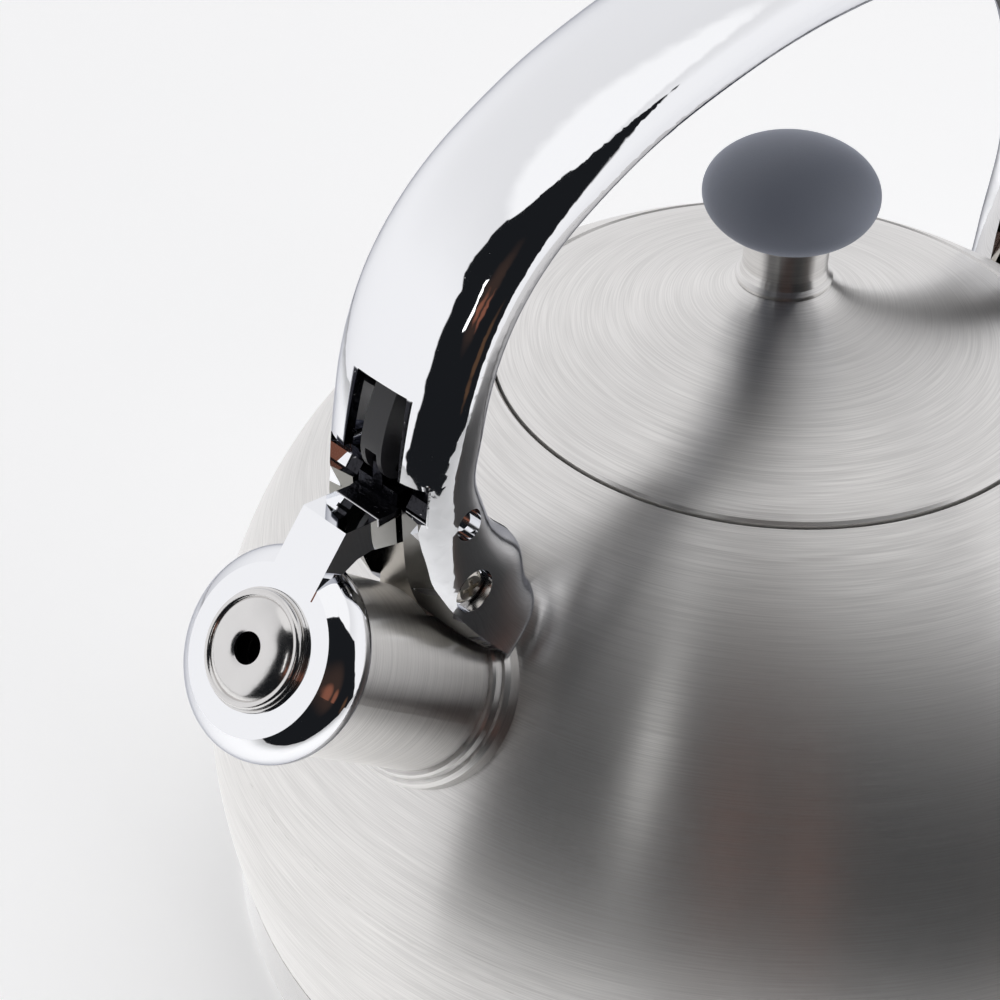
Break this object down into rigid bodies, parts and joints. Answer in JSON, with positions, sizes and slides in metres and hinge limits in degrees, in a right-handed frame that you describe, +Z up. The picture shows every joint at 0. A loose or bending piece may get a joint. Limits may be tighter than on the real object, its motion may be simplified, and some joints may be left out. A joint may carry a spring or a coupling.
{
  "type": "stovetop whistling kettle",
  "caption": "Stovetop kettle of brushed steel with a lift-off lid, a chrome arched handle and a whistle cap on the spout that a trigger in the handle opens.",
  "frame": {"origin": "centre of the flat base, on the surface the kettle stands on", "axes": "+Z up; the spout points to -Y; the handle arches over the lid in the YZ plane, which is the kettle's plane of symmetry; +X is across the kettle"},
  "size_m": [0.22, 0.2447, 0.2146],
  "materials": {
    "brushed_body": "brushed round the body, soft sheen",
    "polished_steel": "polished stainless, slightly warm",
    "chrome": "mirror chrome plating",
    "soft_touch_grey": "matt blue-grey soft-touch moulding",
    "black_plastic": "black moulded plastic",
    "steel_hardware": "plain steel",
    "aluminium_core": "sealed inside the base",
    "brass_insert": "turned brass",
    "silicone": "translucent silicone"
  },
  "bodies": {
    "kettle": {"body_floor": "brushed_body", "body_wall": "brushed_body", "body_upper_wall": "brushed_body", "body_shoulder": "brushed_body", "lid_seat": "brushed_body", "base_plate": "polished_steel", "base_band": "polished_steel", "heat_spreader": "aluminium_core", "spout_tube": "brushed_body", "spout_ring": "polished_steel", "handle_shell": "chrome", "handle_cover": "black_plastic", "front_bracket": "steel_hardware", "rear_bracket": "steel_hardware", "front_handle_screws": "steel_hardware", "rear_handle_screws": "steel_hardware", "whistle_pivot_pin": "steel_hardware", "return_spring": "steel_hardware"},
    "lid": {"lid_shell": "brushed_body", "lid_skirt": "brushed_body", "knob_collar": "brushed_body", "knob": "soft_touch_grey", "knob_insert": "brass_insert", "knob_washer": "steel_hardware", "knob_screw": "steel_hardware"},
    "whistle": {"whistle_cap": "chrome", "whistle_collar": "polished_steel", "whistle_front": "polished_steel", "whistle_back": "polished_steel", "cap_seal": "silicone"},
    "trigger": {"trigger": "soft_touch_grey", "trigger_link": "black_plastic", "crank_pin": "steel_hardware", "trigger_pin": "steel_hardware"}
  },
  "joints": [
    {"name": "lid_lift", "type": "slide", "parent": "kettle", "child": "lid", "axis": [0, 0, 1], "range_m": [0, 0.02]},
    {"name": "whistle_hinge", "type": "hinge", "parent": "kettle", "child": "whistle", "pos_m": [0, -0.09, 0.142], "axis": [-1, 0, 0], "range_deg": [0, 33.5], "stiffness_Nm_per_rad": 0.12, "springref_deg": -20.05},
    {"name": "trigger_pull", "type": "slide", "parent": "kettle", "child": "trigger", "axis": [0, 0.9703, 0.2419], "range_m": [0, 0.0066], "deforming": ["return_spring"]}
  ],
  "couplings": [
    {"joint": "trigger_pull", "follows": "whistle_hinge", "m_per_rad": 0.011117}
  ]
}
